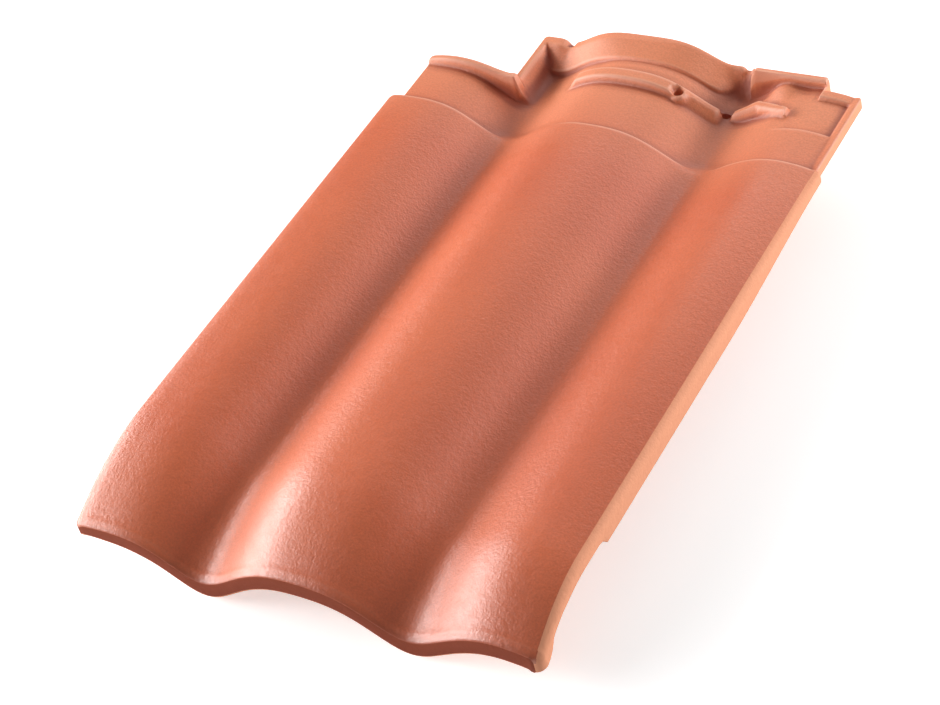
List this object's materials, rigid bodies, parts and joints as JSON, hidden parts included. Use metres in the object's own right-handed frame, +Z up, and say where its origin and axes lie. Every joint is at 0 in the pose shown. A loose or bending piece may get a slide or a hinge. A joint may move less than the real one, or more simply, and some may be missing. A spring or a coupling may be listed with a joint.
{
  "type": "clay roof tile",
  "caption": "Interlocking pressed clay roof tile with two asymmetric waves, a bent nose, ribbed head with nail holes and hanging nibs underneath.",
  "frame": {"origin": "middle of the tile's bounding box, on the floor under it", "axes": "+Z up from the floor, +Y from the nose to the head, +X from the covering edge to the lapped edge"},
  "size_m": [0.28, 0.438, 0.0553],
  "materials": {
    "clay": "fired terracotta with a thin satin engobe"
  },
  "bodies": {
    "root": {"roof_tile": "clay"}
  },
  "joints": []
}
